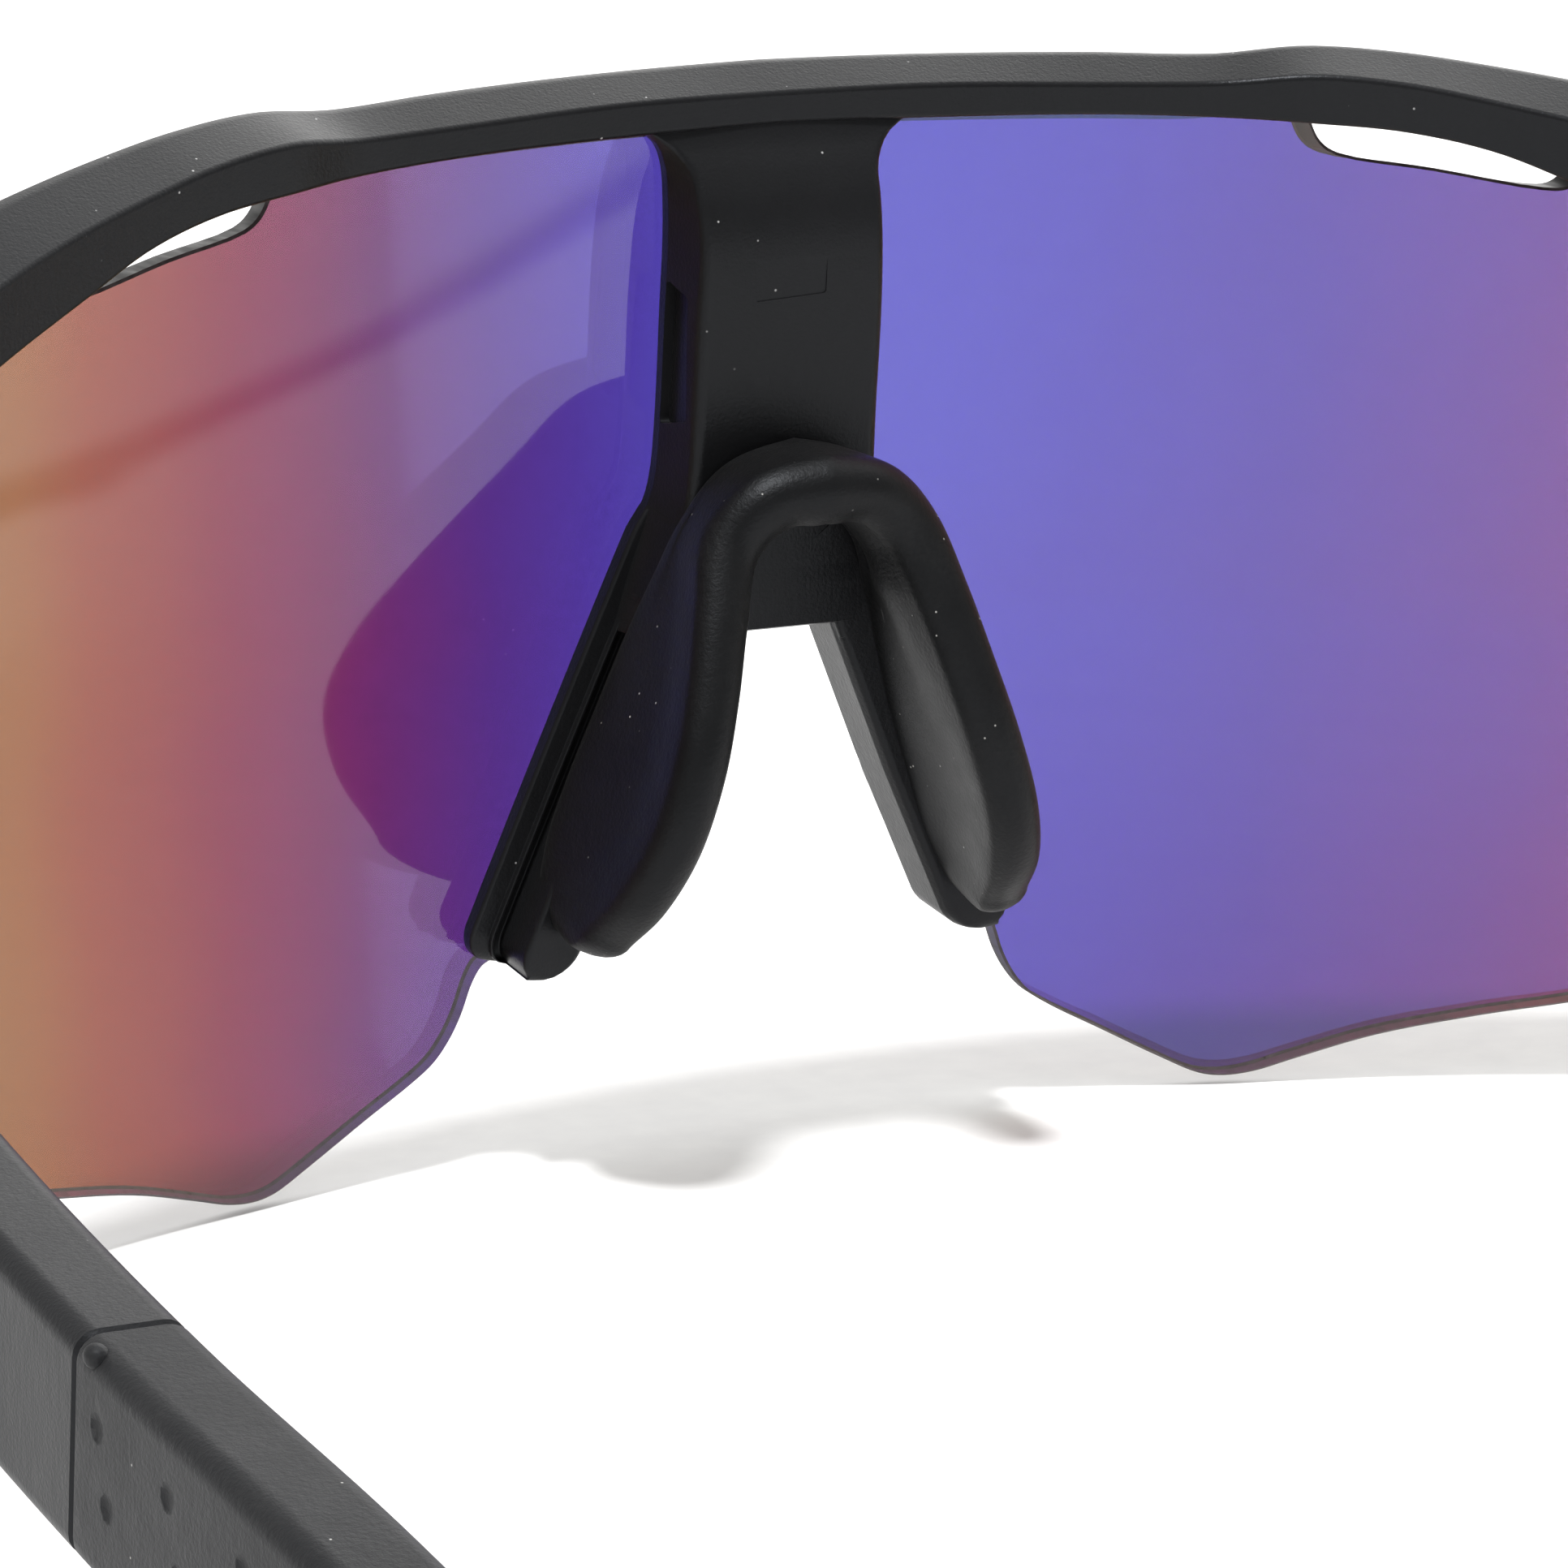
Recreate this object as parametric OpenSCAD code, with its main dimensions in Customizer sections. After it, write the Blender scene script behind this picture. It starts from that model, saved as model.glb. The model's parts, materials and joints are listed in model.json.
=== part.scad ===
// Wraparound shield sunglasses, laid on a table on the two lens points and the ear tips.
// Everything is drawn upright in "wearing" axes (X to the wearer's left, Y to the back of
// the head, Z up, origin on the lens's inner face below the nose), then leaned back by
// the angle at which the glasses rest.

/* [Lens] */
// Inner radius of the cylindrical shield lens
lens_r = 81.8; // [78:0.2:88]
// Thickness of the lens
lens_t = 1.6; // [1.5:0.1:2]
// Half angle of the lens where it ends inside the hinge block
lens_wrap = 47; // [44:0.5:47]

/* [Front frame] */
// Angle by which the front leans back when the glasses stand on a table
lean = 6.4; // [5:0.1:8]
// Depth of the brow bar in front of the lens's inner face
brow_front = 3.2; // [3:0.1:4.5]
// Depth of the nose column behind the lens
column_depth = 3.6; // [3:0.1:4]
// Half width of the nose column at its back
column_half_w = 4.5; // [4:0.1:5]
// Angle of each nose leg from the vertical
leg_angle = 23; // [20:0.5:26]
// Width of a nose leg's flange against the lens
leg_w = 5.2; // [4.8:0.1:5.6]

/* [Nose pad] */
// Thickness of the pad's rolled back rim
pad_rim = 2.7; // [2.2:0.1:3]

/* [Temples] */
// Distance from the middle to each hinge pin
hinge_x = 64.6; // [64:0.1:66]
// Distance of the hinge pins behind the lens's middle
hinge_y = 46.5; // [46:0.1:48]
// Where the rubber ear sock starts, behind the lens's middle
sock_start = 96; // [88:1:108]
// Thickness of the rubber over the temple's core
sock_wall = 1.1; // [0.8:0.1:1.4]

/* [Hinge] */
// Radius of the hinge knuckles
knuckle_r = 2.7; // [2.5:0.1:2.9]
// Radius of the hinge screw's shank
screw_r = 0.9; // [0.7:0.05:1]
// Radial clearance of the screw's shank in the moving knuckle
screw_play = 0.04; // [0.02:0.01:0.08]

/* [Hidden] */

// Gap between pieces that are seated on each other
seat = 0.04;
// Gap between the faces of the moving and the fixed knuckles
face_gap = 0.12;
// Moves the resting glasses so that their box is centred and stands on Z = 0
rest_y = -82.13;
rest_z = -0.27;
// Facets of the true round surfaces
$fn = 96;

// Brow bar: [half-station x, lower back edge, back ridge, top crest, depth behind the lens,
// drop of the front lip below the lower back edge]. The lip is short over the air slots.
// Stations past the lens's own end carry on round the hinge block.
brow_stations = [
  [0,    48.6, 50.1, 51.1, 1.2, 1.3],
  [8,    48.5, 50.1, 51.0, 1.2, 1.3],
  [16,   48.4, 49.9, 50.9, 1.1, 1.3],
  [21.6, 48.2, 49.9, 50.8, 1.0, 1.1],
  [25.8, 48.1, 50.4, 51.2, 1.6, 0.0],
  [30,   47.7, 50.1, 51.0, 1.7, -0.2],
  [34,   46.9, 49.4, 50.5, 1.8, -0.2],
  [38,   45.5, 48.6, 49.9, 1.9, 0.1],
  [42,   44.1, 47.6, 49.2, 2.0, 1.0],
  [50,   41.2, 45.2, 47.3, 2.2, 1.4],
  [58,   38.2, 42.9, 45.0, 2.4, 1.4],
  [68,   34.8, 40.5, 42.4, 2.8, 1.2],
  [80,   32.4, 39.2, 40.8, 3.0, 0.8]];

// Nose pad, from the arch's middle down one wing:
// [front line x, y, z, rim line x, y, z, front width]
pad_stations = [
  [0.0, 4.2, 33.0, 0.0, 7.4, 33.4, 3.4],
  [2.4, 4.2, 32.4, 2.6, 7.2, 32.8, 3.4],
  [3.9, 4.3, 30.2, 4.5, 7.2, 31.0, 3.3],
  [4.6, 4.3, 27.6, 5.5, 8.6, 28.3, 3.2],
  [5.4, 4.3, 24.6, 6.4, 10.1, 25.2, 3.1],
  [6.4, 4.4, 21.6, 7.4, 11.3, 21.8, 3.1],
  [7.5, 4.5, 18.6, 8.5, 11.3, 18.4, 3.1],
  [8.7, 4.7, 15.6, 9.6, 10.0, 15.2, 3.0],
  [9.6, 4.8, 13.4, 10.2, 7.8, 13.0, 2.6]];

// Temple, along its length: [y, middle x, middle z, height, thickness]
temple_stations = [
  [49.8, 66.3, 36.7, 8.2, 5.0],
  [60,   67.6, 35.6, 8.0, 4.2],
  [72,   68.2, 34.5, 7.8, 3.8],
  [84,   68.3, 33.7, 7.7, 3.8],
  [98,   68.1, 33.2, 7.7, 3.9],
  [112,  67.4, 32.8, 7.8, 4.0],
  [126,  66.0, 31.0, 7.9, 4.0],
  [140,  63.8, 27.7, 8.0, 4.0],
  [152,  61.2, 23.8, 7.6, 3.9],
  [160,  59.2, 21.05, 6.4, 3.5],
  [163,  58.4, 20.2, 3.4, 2.2]];

// ---------- helpers ----------

// Smooth value in column c of table t at key k, by a cubic through the neighbouring rows
function row_at(t, k, i = 0) = i >= len(t) - 2 || k < t[i + 1][0] ? i : row_at(t, k, i + 1);
function slope(t, i, c) =
  let (a = max(i - 1, 0), b = min(i + 1, len(t) - 1)) (t[b][c] - t[a][c]) / (t[b][0] - t[a][0]);
function smooth(t, k, c) =
  let (i = row_at(t, k), w = t[i + 1][0] - t[i][0], u = (k - t[i][0]) / w)
    (2*u*u*u - 3*u*u + 1) * t[i][c] + (u*u*u - 2*u*u + u) * w * slope(t, i, c)
    + (3*u*u - 2*u*u*u) * t[i + 1][c] + (u*u*u - u*u) * w * slope(t, i + 1, c);

// Closed solid through a list of rings that all have the same number of points. The faces
// are turned outwards whichever way the rings run.
function total(v) = v * [for (x = v) 1];
function volume_sign(pts, faces) =
  total([for (f = faces) pts[f[0]] * cross(pts[f[1]], pts[f[2]])]) > 0 ? 1 : -1;
module skin(rings) {
  n = len(rings[0]);
  m = len(rings);
  pts = [for (r = rings) each r];
  sides = [for (i = [0:m - 2]) for (j = [0:n - 1])
    let (a = i*n + j, b = i*n + (j + 1) % n) each [[a, b, b + n], [a, b + n, a + n]]];
  caps = [for (j = [1:n - 2]) each [[0, j + 1, j], [(m - 1)*n, (m - 1)*n + j, (m - 1)*n + j + 1]]];
  faces = concat(sides, caps);
  clockwise = volume_sign(pts, faces) < 0;
  polyhedron(points = pts, faces = clockwise ? faces : [for (f = faces) [f[2], f[1], f[0]]], convexity = 6);
}

// Evenly spaced values from a to b
function steps(a, b, n) = [for (i = [0:n]) a + (b - a)*i/n];

// Ring of an upright section at height z from its outline in X and Y
function at_z(outline, z) = [for (p = outline) [p[0], p[1], z]];

// Depth of the lens's inner face at a distance x from the middle
function lens_y(x) = lens_r - sqrt(lens_r*lens_r - x*x);

// Turns the upright glasses to the way they stand on the table
module at_rest() translate([0, rest_y, rest_z]) rotate([-lean, 0, 0]) children();

// Draws a left-hand piece on the left (side = 1) or mirrored to the right (side = -1)
module on_side(side) { if (side > 0) children(); else mirror([1, 0, 0]) children(); }

// ---------- lens ----------

// Half outline of the lens seen from the front, from the top middle round to the nose notch
lens_end_x = lens_r * sin(lens_wrap);
function lens_half(grow) = concat(
  [for (x = [0:4:52]) [x, smooth(brow_stations, x, 1) + 0.7 + grow]],
  [[lens_end_x - 2, 39.4 + grow], [lens_end_x + grow, 37 + grow], [lens_end_x + grow, 31],
   [58.6, 24], [56, 17.6], [52.4, 12], [47.6, 8],
   [41.5, 5.4], [36.5, 4.1], [32, 2.9], [28.4, 1.6], [26.6, 0.95], [25.2, 0.72], [24, 0.85],
   [22, 1.75], [19, 3.3], [16.6, 4.55], [15.4, 5.35], [14.6, 6.3], [14.0, 7.4],
   [13.4, 9.0], [12.9, 9.7], [12.2, 9.95], [9.7, 9.95], [9.3, 10.4],
   [3.5, 24.3], [2.9, 25.3], [1.8, 25.9], [0, 26.1]]);

// Air slot between the brow and the lens, cut into the lens's top edge
vent_outline = [[25.6, 52], [26.0, 47.8], [26.5, 46.9], [27.3, 46.4], [31.5, 45.8], [36.2, 45.1],
                [37.2, 45.2], [37.9, 45.9], [38.4, 52]];

// Curved sheet with the lens's outline, grown for cutting its seat in the frame
module lens_sheet(grow, gap) {
  half = lens_half(grow);
  outline = concat(half, [for (i = [len(half) - 1:-1:0]) [-half[i][0], half[i][1]]]);
  intersection() {
    translate([0, lens_r, -5]) difference() {
      cylinder(r = lens_r + lens_t + gap, h = 70, $fn = 180);
      translate([0, 0, -1]) cylinder(r = lens_r - gap, h = 72, $fn = 180);
    }
    rotate([90, 0, 0]) translate([0, 0, -lens_r + 20]) linear_extrude(height = lens_r)
      polygon(outline);
  }
}

module shield_lens() {
  color([0.42, 0.30, 0.72]) at_rest() difference() {
    lens_sheet(0, 0);
    for (side = [1, -1]) on_side(side)
      rotate([90, 0, 0]) translate([0, 0, -30]) linear_extrude(height = 40) polygon(vent_outline);
  }
}

// ---------- front frame ----------

// Plan of the brow: the lens's own circle, then a tighter bend, then straight back
bend_a = 46;
bend_r = 24;
function plan_angle(s) = s <= lens_r*bend_a*PI/180 ? s*180/(PI*lens_r)
  : min(90, bend_a + (s - lens_r*bend_a*PI/180)*180/(PI*bend_r));
bend_s = lens_r*bend_a*PI/180;
straight_s = bend_s + bend_r*(90 - bend_a)*PI/180;
bend_c = [lens_r*sin(bend_a) - bend_r*sin(bend_a), lens_r*(1 - cos(bend_a)) + bend_r*cos(bend_a)];
function plan_point(s) = let (a = plan_angle(s))
  s <= bend_s ? [lens_r*sin(a), lens_r*(1 - cos(a))]
  : [bend_c[0] + bend_r*sin(a), bend_c[1] - bend_r*cos(a) + max(0, s - straight_s)];

// Section of the brow at distance s along its plan, side = 1 for the left half
function brow_ring(s, side) =
  let (p = plan_point(s), a = plan_angle(s), n = [sin(a), -cos(a)],
       k = min(s <= bend_s ? p[0] : lens_r*sin(bend_a) + (s - bend_s), 80),
       low = smooth(brow_stations, k, 1), ridge = smooth(brow_stations, k, 2),
       crest = smooth(brow_stations, k, 3), back = -smooth(brow_stations, k, 4),
       f = brow_front, lip = low - smooth(brow_stations, k, 5),
       section = [[back, low], [back, ridge - 0.25], [back + 0.25, ridge], [0.6, crest - 0.1], [1.3, crest],
                  [f - 1.1, crest - 0.5], [f, crest - 1.5], [f, lip + 0.4], [f - 0.4, lip],
                  [lens_t + 0.05, lip], [lens_t - 0.6, low]])
    [for (q = section) [side*(p[0] + n[0]*q[0]), p[1] + n[1]*q[0], q[1]]];

// Where the frame's side ends, just clear of the moving knuckle
butt_y = hinge_y - knuckle_r - 0.2;
brow_end = straight_s + butt_y - plan_point(straight_s)[1];

module brow() {
  along = concat(steps(0, bend_s - 2, 24), steps(bend_s, brow_end, 8));
  left = [for (i = [len(along) - 1:-1:1]) brow_ring(along[i], 1)];
  right = [for (i = [1:len(along) - 1]) brow_ring(along[i], -1)];
  skin(concat(left, [brow_ring(0, 1)], right));
}

// Nose column behind the lens: [z, half width at the lens, half width at the back, back depth]
column_rows = [
  [25.6, 7.4, 6.4, 0.1], [28, 6.7, 5.7, 0.1], [30, 6.0, 5.0, 0], [32, 5.3, 4.6, 0],
  [35, 5.1, 4.5, 0], [40, 5.1, 4.5, 0], [43.4, 5.1, 4.4, -0.1], [45.4, 5.2, 4.4, -0.6],
  [46.9, 5.4, 4.5, -1.4], [48.0, 5.9, 5.4, -2.2], [48.8, 7.0, 6.8, -2.6]];
function column_outline(row) = let (front = -1, back = column_depth + row[3], w = row[1],
    b = row[2] - 4.5 + column_half_w)
  [[-w, front], [w, front], [w, 0.8], [b + 0.1, back - 0.6], [b - 0.6, back], [-b + 0.6, back],
   [-b - 0.1, back - 0.6], [-w, 0.8]];

module column() skin([for (row = column_rows) at_z(column_outline(row), row[0])]);

// One nose leg: a flange on the lens and a rail for the pad, sloping outwards and down
leg_top_z = 29.5;
leg_low_z = 9.3;
function leg_outline(x, lift) = let (y = lens_y(x + leg_w/2))
  [[x, y - 1], [x + leg_w, y - 1], [x + leg_w, y + 1.0 - lift], [x + leg_w - 1.3, y + 1.2 - lift],
   [x + leg_w - 1.5, column_depth - lift], [x + 0.4, column_depth - lift], [x, column_depth - 0.5 - lift]];

module leg() {
  x_top = 1.3;
  run = tan(leg_angle);
  rows = [[leg_top_z, 0], [24, 0], [18, 0], [12, 0], [10.2, 0.2], [leg_low_z, 1.2]];
  skin([for (i = [len(rows) - 1:-1:0])
    at_z(leg_outline(x_top + run*(leg_top_z - rows[i][0]), rows[i][1]), rows[i][0])]);
}

// Heights of the hinge's knuckles along its pin
pin_low = 32.6;
pin_top = 40.6;
lug_h = 2.2;
knuckle_low = pin_low + lug_h + face_gap;
knuckle_top = pin_top - lug_h - face_gap;
head_h = 0.9;
head_r = 1.75;
insert_r = 1.7;

// Block and two lugs that carry one hinge pin
module hinge_lugs() {
  for (z = [pin_low, pin_top - lug_h]) translate([0, 0, z]) {
    translate([hinge_x, hinge_y, 0]) cylinder(r = knuckle_r, h = lug_h);
    translate([hinge_x - knuckle_r, butt_y - 3, 0]) cube([2*knuckle_r, hinge_y - butt_y + 3, lug_h]);
  }
}

module hinge_bores() {
  translate([hinge_x, hinge_y, pin_low - 1]) cylinder(r = screw_r + screw_play, h = 20);
  translate([hinge_x, hinge_y, pin_low - 1]) cylinder(r = insert_r + seat, h = lug_h + 1.4);
  translate([hinge_x, hinge_y, pin_top - head_h - 0.1]) cylinder(r = head_r + 0.1, h = 4);
}

module front_frame() {
  color([0.10, 0.10, 0.11]) at_rest() difference() {
    union() {
      brow();
      column();
      for (side = [1, -1]) on_side(side) { leg(); hinge_lugs(); }
    }
    lens_sheet(0.15, seat);
    for (side = [1, -1]) on_side(side) hinge_bores();
  }
}

// ---------- nose pad ----------

// Section of the pad on one station: front edge on the rail, rolled rim at the back
function pad_ring(row, side) =
  let (f = [row[0], row[1], row[2]], r = [row[3], row[4], row[5]], w = row[6]/2, t = pad_rim/2,
       d = (r - f)/norm(r - f), across = row[0] < 0.5 ? [0, 0, 1]
         : row[0] < 3 ? [0.55, 0, 0.83] : row[0] < 4.2 ? [0.86, 0, 0.5] : [0.93, -0.1, 0.36],
       pts = [f - across*w, f + across*w, f + d*1.2 + across*(w - 0.3), r + across*t - d*0.4,
              r + across*t*0.75 + d*t*0.65, r + d*t, r - across*t*0.75 + d*t*0.65, r - across*t - d*0.4,
              f + d*1.2 - across*(w - 0.3)])
    [for (p = pts) [side*p[0], p[1], p[2]]];

module nose_pad() {
  n = len(pad_stations);
  color([0.07, 0.07, 0.08]) at_rest() skin(concat(
    [for (i = [n - 1:-1:1]) pad_ring(pad_stations[i], 1)],
    [pad_ring(pad_stations[0], 1)],
    [for (i = [1:n - 1]) pad_ring(pad_stations[i], -1)]));
}

// ---------- temples ----------

// Section of the temple at y, shrunk by inset on every side
function temple_ring(y, inset) =
  let (x = smooth(temple_stations, y, 1), z = smooth(temple_stations, y, 2),
       h = smooth(temple_stations, y, 3)/2 - inset, t = smooth(temple_stations, y, 4)/2 - inset,
       b = min(0.9, t*0.4))
    [[x - t, y, z - h + b], [x - t + b, y, z - h], [x + t - b, y, z - h], [x + t, y, z - h + b],
     [x + t, y, z + h - b], [x + t - b, y, z + h], [x - t + b, y, z + h], [x - t, y, z + h - b]];

temple_start = 49.8;
temple_end = 163;
core_end = 158;
wall_t = 1.3;

module temple(side) {
  color([0.13, 0.13, 0.14]) at_rest() on_side(side) difference() {
    union() {
      skin(concat(
        [for (y = steps(core_end, sock_start + 0.01, 12)) temple_ring(y, sock_wall)],
        [for (y = steps(sock_start, temple_start, 6)) temple_ring(y, 0)]));
      // outer wall that covers the hinge, and the knuckle with its root
      translate([hinge_x + knuckle_r + 0.3, butt_y + 0.3, pin_low - 0.2])
        cube([wall_t, 50.2 - butt_y, pin_top - pin_low + 0.5]);
      translate([hinge_x, hinge_y, knuckle_low]) cylinder(r = knuckle_r, h = knuckle_top - knuckle_low);
      translate([hinge_x, hinge_y - 1.6, knuckle_low]) cube([knuckle_r + 1, 5.6, knuckle_top - knuckle_low]);
    }
    translate([hinge_x, hinge_y, knuckle_low - 1]) cylinder(r = screw_r + screw_play, h = 12);
  }
}

module ear_sock(side) {
  inside = [for (y = steps(core_end + 0.3, sock_start + 0.1, 12)) temple_ring(y, sock_wall - seat)];
  outside = [for (y = steps(sock_start + 0.1, temple_end, 14)) temple_ring(y, 0)];
  color([0.06, 0.06, 0.065]) at_rest() on_side(side) skin(concat(inside, outside));
}

// ---------- hinge hardware ----------

module hinge_screw(side) {
  color([0.62, 0.62, 0.64]) at_rest() on_side(side) translate([hinge_x, hinge_y, 0]) difference() {
    union() {
      translate([0, 0, pin_low + 0.2]) cylinder(r = screw_r, h = pin_top - head_h - pin_low - 0.1);
      translate([0, 0, pin_top - head_h]) cylinder(r = head_r, h = head_h - 0.1);
    }
    // driver slot
    translate([-head_r, -0.2, pin_top - 0.55]) cube([2*head_r, 0.4, 1]);
  }
}

module hinge_insert(side) {
  color([0.72, 0.58, 0.30]) at_rest() on_side(side) translate([hinge_x, hinge_y, pin_low + 0.1]) difference() {
    cylinder(r = insert_r, h = lug_h - 0.2);
    translate([0, 0, -1]) cylinder(r = screw_r + 0.02, h = 5);
  }
}

front_frame();
shield_lens();
nose_pad();
temple(1);  // temple_left
temple(-1);  // temple_right
ear_sock(1);  // ear_sock_left
ear_sock(-1);  // ear_sock_right
hinge_screw(1);  // hinge_screw_left
hinge_screw(-1);  // hinge_screw_right
hinge_insert(1);  // hinge_insert_left
hinge_insert(-1);  // hinge_insert_right
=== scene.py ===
"""Wraparound shield sunglasses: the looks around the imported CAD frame.

Shapes are drawn in "wearing" axes in millimetres, as the CAD draws them: X to the wearer's left,
Y to the back of the head, Z up, origin on the lens's inner face below the nose. to_row() turns
them to the row frame in metres, by the left hinge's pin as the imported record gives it.
"""

import json
import math

import bmesh
import bpy
import numpy as np
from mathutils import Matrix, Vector
from mathutils.geometry import delaunay_2d_cdt


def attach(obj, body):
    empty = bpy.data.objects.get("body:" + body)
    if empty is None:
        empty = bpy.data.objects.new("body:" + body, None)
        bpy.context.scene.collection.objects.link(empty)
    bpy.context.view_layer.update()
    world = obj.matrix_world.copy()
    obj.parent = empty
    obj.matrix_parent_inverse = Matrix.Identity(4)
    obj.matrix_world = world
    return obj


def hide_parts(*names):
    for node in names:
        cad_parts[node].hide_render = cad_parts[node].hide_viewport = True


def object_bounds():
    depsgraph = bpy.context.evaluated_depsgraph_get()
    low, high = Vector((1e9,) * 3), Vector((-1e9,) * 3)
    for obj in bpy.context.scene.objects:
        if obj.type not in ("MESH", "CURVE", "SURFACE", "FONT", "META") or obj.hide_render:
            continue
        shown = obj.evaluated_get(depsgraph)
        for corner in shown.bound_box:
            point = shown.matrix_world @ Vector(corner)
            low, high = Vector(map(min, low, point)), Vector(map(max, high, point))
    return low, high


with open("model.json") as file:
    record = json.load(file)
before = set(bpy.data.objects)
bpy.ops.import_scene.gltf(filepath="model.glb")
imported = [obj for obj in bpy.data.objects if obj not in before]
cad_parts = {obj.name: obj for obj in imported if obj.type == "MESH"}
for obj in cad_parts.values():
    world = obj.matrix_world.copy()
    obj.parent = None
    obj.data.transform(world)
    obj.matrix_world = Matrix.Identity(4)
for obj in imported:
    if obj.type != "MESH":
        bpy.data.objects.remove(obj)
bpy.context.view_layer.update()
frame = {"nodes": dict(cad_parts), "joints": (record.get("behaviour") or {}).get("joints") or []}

MM = 0.001
SIDES = {"left": 1, "right": -1}

# ---------- driving dimensions, in millimetres: the CAD's, and a few of the looks' own ----------

LENS_R = 81.8
# The lens's thickness, and what it thins to at its lowest points
LENS_T, LENS_T_LOW = 1.6, 0.95
BROW_FRONT = 3.2
COLUMN_DEPTH = 3.6
LEG_SLOPE = math.tan(math.radians(23))
LEG_TOP, LEG_X, LEG_W = 29.5, 1.2, 5.35
# The leg's inner side moves out by this much for each millimetre below this height
LEG_NARROWING, NARROW_FROM = 0.033, 18.5
PIN = (64.6, 46.5, 36.6)
PIN_LOW, PIN_TOP = 32.6, 40.6
LUG_H = 2.2
KNUCKLE_R = 2.7
FACE_GAP = 0.12
BORE_R = 0.94
HEAD_R, HEAD_H = 1.85, 1.0
INSERT_R = 1.74
SEAT = 0.04
BUTT_Y = PIN[1] - KNUCKLE_R - 0.2
ARM_START, SOCK_START, CORE_END, SOCK_ROUND, TEMPLE_END = 49.8, 96.0, 158.0, 160.5, 163.0
SOCK_WALL = 1.1
DIMPLES, DIMPLE_START, DIMPLE_PITCH, DIMPLE_R = 10, 98.0, 5.4, 1.1
PIP_Y = SOCK_START + 1.2
BEND_A, BEND_R = math.radians(46), 24.0

# Brow bar: x along the lens, lower back edge, back ridge, top crest, depth behind the lens,
# drop of the front lip. The lip is short over the air slots.
BROW = (
    (0, 48.6, 50.1, 51.1, 1.2, 0.8),
    (8, 48.5, 50.1, 51.0, 1.2, 0.8),
    (16, 48.4, 49.9, 50.9, 1.1, 0.8),
    (21.6, 48.2, 49.9, 50.8, 1.0, 0.6),
    (25.8, 48.1, 50.4, 51.2, 1.6, -0.3),
    (30, 47.8, 50.1, 51.0, 1.7, -0.6),
    (34, 47.0, 49.4, 50.5, 1.8, -0.5),
    (38, 45.5, 48.6, 49.9, 1.9, 0.1),
    (42, 44.1, 47.6, 49.2, 2.0, 0.8),
    (50, 41.2, 45.2, 47.3, 2.2, 1.0),
    (58, 38.2, 42.9, 45.0, 2.4, 1.1),
    (68, 34.8, 40.5, 42.4, 2.8, 1.2),
    (80, 32.4, 39.2, 40.8, 3.0, 0.8),
)
# Nose column: height, half width at the lens, half width at the back, back depth
COLUMN = (
    (25.5, 7.4, 6.4, 3.7),
    (28, 6.7, 5.7, 3.7),
    (30, 6.0, 5.0, 3.6),
    (32, 5.3, 4.6, 3.6),
    (35, 5.1, 4.5, 3.6),
    (40, 5.1, 4.5, 3.6),
    (43.4, 5.1, 4.4, 3.5),
    (45.4, 5.2, 4.4, 3.0),
    (46.9, 5.4, 4.5, 2.2),
    (48.0, 5.9, 5.4, 1.4),
    (48.8, 7.0, 6.8, 1.05),
    (49.6, 8.4, 8.2, 0.9),
)
# Nose pad from the arch's middle down one wing: front line x, y, z; rim line x, y, z;
# half thickness on the outer and inner side, radius of the rolled rim, depth of the dish
PAD = (
    (0.0, 4.1, 33.2, 0.0, 7.3, 33.3, 1.60, 1.60, 1.65, 0.0),
    (2.4, 4.0, 32.4, 2.6, 7.1, 32.8, 1.60, 1.40, 1.60, 0.0),
    (3.9, 3.9, 30.4, 4.5, 7.2, 31.0, 1.60, 1.00, 1.50, 0.0),
    (4.7, 3.4, 28.0, 5.5, 8.6, 28.3, 1.70, 0.70, 1.40, 0.1),
    (5.5, 2.5, 25.0, 6.4, 10.0, 25.2, 1.75, 0.85, 1.35, 0.2),
    (6.7, 2.3, 21.8, 7.4, 11.0, 21.9, 1.75, 1.25, 1.35, 0.35),
    (8.0, 2.4, 18.8, 8.5, 11.1, 18.5, 1.75, 1.50, 1.35, 0.4),
    (9.15, 2.5, 15.9, 9.5, 9.8, 15.4, 1.65, 1.60, 1.35, 0.35),
    (9.9, 2.7, 13.9, 10.1, 7.9, 13.3, 1.35, 1.35, 1.30, 0.2),
)
# Temple: distance back, middle x, middle z, height, thickness
TEMPLE = (
    (ARM_START, 66.3, 36.7, 8.2, 5.0),
    (60, 67.6, 35.6, 8.0, 4.2),
    (72, 68.2, 34.5, 7.8, 3.8),
    (84, 68.3, 33.7, 7.7, 3.8),
    (98, 68.1, 33.2, 7.7, 3.9),
    (112, 67.4, 32.8, 7.8, 4.0),
    (126, 66.0, 31.0, 7.9, 4.0),
    (140, 63.8, 27.7, 8.0, 4.0),
    (152, 61.2, 23.8, 7.6, 3.9),
    (160, 59.2, 21.05, 6.4, 3.5),
    (TEMPLE_END, 58.4, 20.2, 3.4, 2.2),
)
# Lens outline below the brow, x and z, from the hinge block round the lower point to the nose
LENS_LOW = (
    (59.8, 37), (59.8, 31), (58.6, 24), (56, 17.6), (52.4, 12), (47.6, 8), (41.5, 5.4),
    (36.5, 4.1), (32, 2.9), (28.4, 1.6), (26.6, 0.95), (25.2, 0.72), (24, 0.85), (22, 1.75),
    (19, 3.3), (16.6, 4.55), (15.4, 5.35), (14.6, 6.3), (14.0, 7.4), (13.4, 9.0),
    (12.9, 9.7), (12.2, 9.95), (11.3, 9.98), (10.5, 10.12), (9.95, 10.45), (9.5, 11.05), (6.15, 18.1),
    (3.55, 24.2), (3.0, 25.3), (1.8, 25.9), (0, 26.1),
)
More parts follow.
